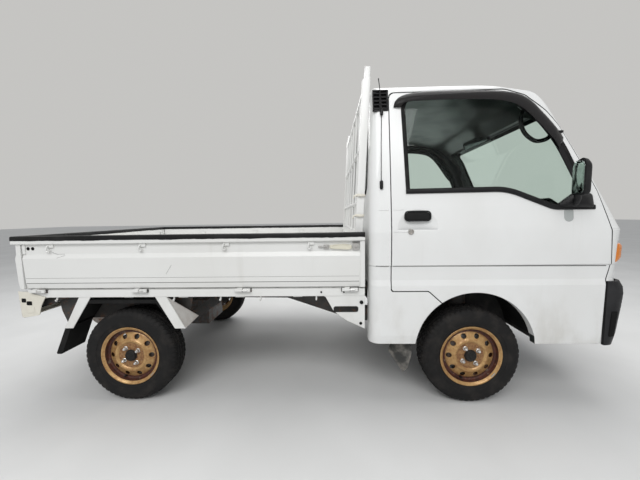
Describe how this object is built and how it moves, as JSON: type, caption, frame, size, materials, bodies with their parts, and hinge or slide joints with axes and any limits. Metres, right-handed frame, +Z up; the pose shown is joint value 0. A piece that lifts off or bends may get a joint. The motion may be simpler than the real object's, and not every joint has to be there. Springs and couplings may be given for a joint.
{
  "type": "kei truck",
  "caption": "Small cab-over pickup with drop-side load bed, guard frame behind the cab, opening doors and steel wheels that roll and steer.",
  "frame": {"origin": "on the ground under the middle of the truck's bounding box", "axes": "+X forward along the truck, +Y to its left, +Z up"},
  "size_m": [3.295, 1.68, 1.7979],
  "materials": {
    "white_paint": "gloss white, lightly worn",
    "cream_paint": "satin cream",
    "bed_paint": "scuffed white",
    "black_chassis": "matt black with rust",
    "cast_block": "raw casting",
    "exhaust_steel": "rusty steel",
    "floor_mat": "ribbed mat",
    "black_plastic": "grained black",
    "black_rubber": "matt",
    "seat_cloth": "woven cloth and vinyl",
    "glass": "pale green tint",
    "lamp_lens": "fluted clear lens",
    "orange_lens": "orange lens",
    "red_lens": "red lens",
    "gold_wheel": "bronze gold paint with rust",
    "tyre": "worn rubber"
  },
  "bodies": {
    "root": {"frame_rails": "black_chassis", "cab_shell": "white_paint", "cab_vents": "black_plastic", "front_panel": "white_paint", "cab_floor": "floor_mat", "dashboard": "black_plastic", "seats": "seat_cloth", "steering_column": "black_plastic", "windscreen": "glass", "rear_window": "glass", "front_bumper": "black_plastic", "headlamps": "lamp_lens", "front_indicators": "orange_lens", "rear_lamps": "red_lens", "lamp_brackets": "cream_paint", "bed_floor": "bed_paint", "bed_frame": "white_paint", "bed_hinges": "white_paint", "guard_frame": "white_paint", "fender_stays": "white_paint", "splash_guards": "black_rubber", "rear_suspension": "black_chassis", "front_suspension": "black_chassis", "engine_block": "cast_block", "fuel_tank": "black_chassis", "exhaust": "exhaust_steel"},
    "door_right": {"door_right": "white_paint", "door_glass_right": "glass", "mirror_right": "black_plastic"},
    "door_left": {"door_left": "white_paint", "door_glass_left": "glass", "mirror_left": "black_plastic"},
    "side_gate_right": {"side_gate_right": "white_paint"},
    "side_gate_left": {"side_gate_left": "white_paint"},
    "tailgate": {"tailgate": "white_paint"},
    "knuckle_right": {"knuckle_right": "black_chassis"},
    "knuckle_left": {"knuckle_left": "black_chassis"},
    "steering_wheel": {"steering_wheel": "black_plastic"},
    "steering_rack": {"steering_rack": "black_chassis"},
    "wheel_front_right": {"rim_front_right": "gold_wheel", "tyre_front_right": "tyre"},
    "wheel_front_left": {"rim_front_left": "gold_wheel", "tyre_front_left": "tyre"},
    "wheel_rear_right": {"rim_rear_right": "gold_wheel", "tyre_rear_right": "tyre"},
    "wheel_rear_left": {"rim_rear_left": "gold_wheel", "tyre_rear_left": "tyre"}
  },
  "joints": [
    {"name": "door_right_hinge", "type": "hinge", "parent": "root", "child": "door_right", "pos_m": [1.482, -0.699, 0.7], "axis": [0, 0, 1], "range_deg": [0, 62]},
    {"name": "door_left_hinge", "type": "hinge", "parent": "root", "child": "door_left", "pos_m": [1.482, 0.699, 0.7], "axis": [0, 0, -1], "range_deg": [0, 62]},
    {"name": "side_gate_right_hinge", "type": "hinge", "parent": "root", "child": "side_gate_right", "pos_m": [-0.6, -0.69, 0.64], "axis": [1, 0, 0], "range_deg": [0, 176]},
    {"name": "side_gate_left_hinge", "type": "hinge", "parent": "root", "child": "side_gate_left", "pos_m": [-0.6, 0.69, 0.64], "axis": [-1, 0, 0], "range_deg": [0, 176]},
    {"name": "tailgate_hinge", "type": "hinge", "parent": "root", "child": "tailgate", "pos_m": [-1.64, 0, 0.64], "axis": [0, -1, 0], "range_deg": [0, 176]},
    {"name": "steer_right", "type": "hinge", "parent": "root", "child": "knuckle_right", "pos_m": [0.835, -0.525, 0.19], "axis": [0, 0.1625, 0.9867], "range_deg": [-30, 30]},
    {"name": "steer_left", "type": "hinge", "parent": "root", "child": "knuckle_left", "pos_m": [0.835, 0.525, 0.19], "axis": [0, -0.1625, 0.9867], "range_deg": [-31, 31]},
    {"name": "rack_slide", "type": "slide", "parent": "root", "child": "steering_rack", "axis": [0, -1, 0], "range_m": [-0.064, 0.064]},
    {"name": "steering_wheel_turn", "type": "hinge", "parent": "root", "child": "steering_wheel", "pos_m": [1.12, -0.32, 1.01], "axis": [-0.766, 0, 0.6428], "range_deg": [-520, 520]},
    {"name": "wheel_front_right_spin", "type": "hinge", "parent": "knuckle_right", "child": "wheel_front_right", "pos_m": [0.835, -0.605, 0.262], "axis": [0, 1, 0], "continuous": true},
    {"name": "wheel_front_left_spin", "type": "hinge", "parent": "knuckle_left", "child": "wheel_front_left", "pos_m": [0.835, 0.605, 0.262], "axis": [0, 1, 0], "continuous": true},
    {"name": "wheel_rear_right_spin", "type": "hinge", "parent": "root", "child": "wheel_rear_right", "pos_m": [-1.05, -0.605, 0.262], "axis": [0, 1, 0], "continuous": true},
    {"name": "wheel_rear_left_spin", "type": "hinge", "parent": "root", "child": "wheel_rear_left", "pos_m": [-1.05, 0.605, 0.262], "axis": [0, 1, 0], "continuous": true}
  ],
  "couplings": [
    {"joint": "steer_left", "follows": "steer_right", "ratio": 1},
    {"joint": "rack_slide", "follows": "steer_right", "m_per_rad": 0.12},
    {"joint": "steering_wheel_turn", "follows": "steer_right", "ratio": 17}
  ]
}
